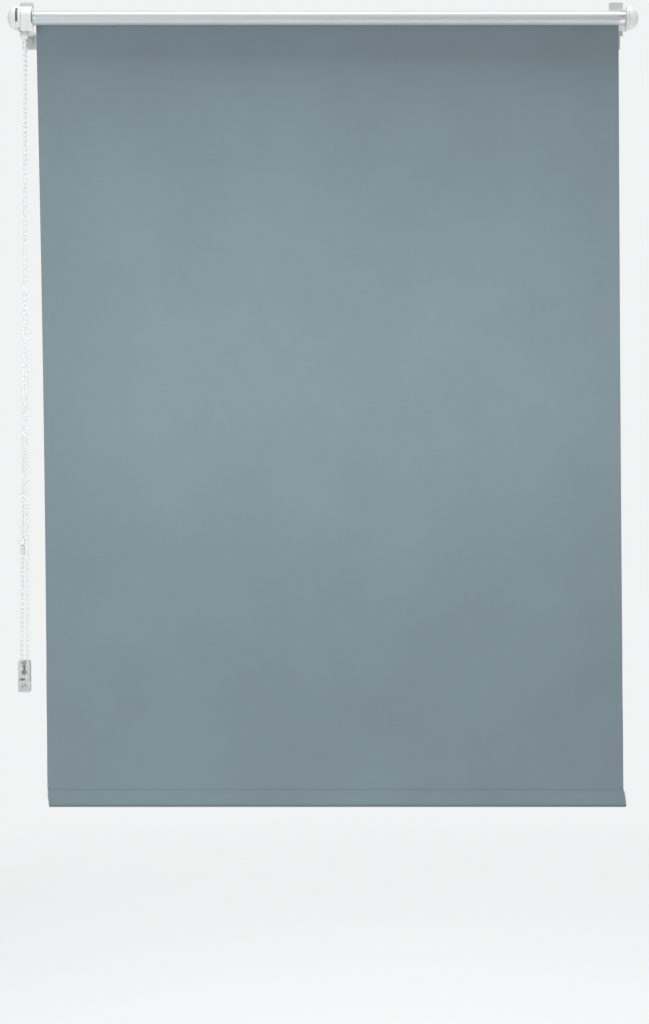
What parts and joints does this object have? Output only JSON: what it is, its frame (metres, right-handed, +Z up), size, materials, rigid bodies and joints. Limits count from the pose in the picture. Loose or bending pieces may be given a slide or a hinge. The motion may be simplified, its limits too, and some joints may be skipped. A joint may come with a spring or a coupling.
{
  "type": "roller blackout blind",
  "caption": "Clamp-on roller blackout blind: cloth on a tube between carriers that hook over a window sash, with a bead chain drive, a sprung idler end and a weighted hem.",
  "frame": {"origin": "middle of the sash's top front edge, half way along the roller tube", "axes": "+X to the right seen from the room, along the tube; +Y from the room towards the window; +Z up"},
  "size_m": [0.8098, 0.0776, 1.0397],
  "materials": {
    "white_plastic": "satin moulded",
    "grey_plastic": "moulded",
    "clear_plastic": "translucent, smooth",
    "blackout_cloth": "fine plain weave, matt, coated reverse",
    "silver_cloth": "silver coated reverse, satin",
    "aluminium": "mill finish, extruded",
    "steel": "zinc plated",
    "rubber": "pale, soft, matt",
    "foam": "adhesive foam"
  },
  "bodies": {
    "root": {"carrier_left": "grey_plastic", "carrier_right": "grey_plastic", "bracket_left": "white_plastic", "bracket_right": "white_plastic", "bracket_screw_left": "steel", "bracket_screw_right": "steel", "end_cap_left": "white_plastic", "end_cap_right": "white_plastic", "drive_housing": "white_plastic", "drive_plate": "white_plastic", "chain_guide": "white_plastic", "chain_guard": "white_plastic", "spindle": "steel", "clutch_spring": "steel", "fabric_sheet": "blackout_cloth", "bead_chain": "white_plastic", "holder_base": "clear_plastic", "holder_cover": "clear_plastic", "holder_pad": "foam", "holder_screw": "steel"},
    "roller": {"roller_tube": "aluminium", "fabric_spline": "white_plastic", "fabric_roll": "silver_cloth", "drive_plug": "grey_plastic", "chain_wheel": "white_plastic", "idler_plug": "grey_plastic", "idler_cap": "grey_plastic", "idler_spring": "steel"},
    "bottom_rail": {"hem_pocket": "blackout_cloth", "bottom_bar": "aluminium", "bar_cap_left": "clear_plastic", "bar_cap_right": "clear_plastic"},
    "idler_pin": {"idler_pin": "steel"},
    "stop_front": {"stop_bead_front": "white_plastic"},
    "stop_rear": {"stop_bead_rear": "white_plastic", "chain_connector": "clear_plastic"},
    "clamp_left": {"clamp_pad_left": "rubber"},
    "clamp_right": {"clamp_pad_right": "rubber"},
    "screw_left": {"clamp_screw_left": "steel", "thumb_wheel_left": "white_plastic"},
    "screw_right": {"clamp_screw_right": "steel", "thumb_wheel_right": "white_plastic"}
  },
  "joints": [
    {"name": "rail_lift", "type": "slide", "parent": "root", "child": "bottom_rail", "axis": [0, 0, 1], "range_m": [0, 0.97], "deforming": ["fabric_sheet"]},
    {"name": "roller_spin", "type": "hinge", "parent": "root", "child": "roller", "pos_m": [0, -0.019, 0.0157], "axis": [1, 0, 0], "range_deg": [0, 4866], "deforming": ["bead_chain"]},
    {"name": "stop_front_run", "type": "slide", "parent": "root", "child": "stop_front", "axis": [-0.0023, 0.0224, -0.9997], "range_m": [0, 0.649]},
    {"name": "stop_rear_run", "type": "slide", "parent": "root", "child": "stop_rear", "axis": [0.0114, -0.0043, 0.9999], "range_m": [0, 0.649]},
    {"name": "idler_pin_press", "type": "slide", "parent": "roller", "child": "idler_pin", "axis": [1, 0, 0], "range_m": [-0.0072, 0], "stiffness_N_per_m": 300, "springref_m": 0.004, "deforming": ["idler_spring"]},
    {"name": "clamp_left_slide", "type": "slide", "parent": "root", "child": "clamp_left", "axis": [0, 1, 0], "range_m": [-0.003, 0.004]},
    {"name": "clamp_right_slide", "type": "slide", "parent": "root", "child": "clamp_right", "axis": [0, 1, 0], "range_m": [-0.003, 0.004]},
    {"name": "screw_left_turn", "type": "hinge", "parent": "clamp_left", "child": "screw_left", "pos_m": [-0.3904, 0.03, -0.009], "axis": [0, 1, 0], "range_deg": [-1543, 2058]},
    {"name": "screw_right_turn", "type": "hinge", "parent": "clamp_right", "child": "screw_right", "pos_m": [0.3701, 0.03, -0.009], "axis": [0, 1, 0], "range_deg": [-1543, 2058]}
  ],
  "couplings": [
    {"joint": "roller_spin", "follows": "rail_lift", "rad_per_m": 87.5},
    {"joint": "stop_front_run", "follows": "rail_lift", "ratio": 0.66845},
    {"joint": "stop_rear_run", "follows": "rail_lift", "ratio": 0.66845},
    {"joint": "screw_left_turn", "follows": "clamp_left_slide", "rad_per_m": 8976},
    {"joint": "screw_right_turn", "follows": "clamp_right_slide", "rad_per_m": 8976}
  ]
}
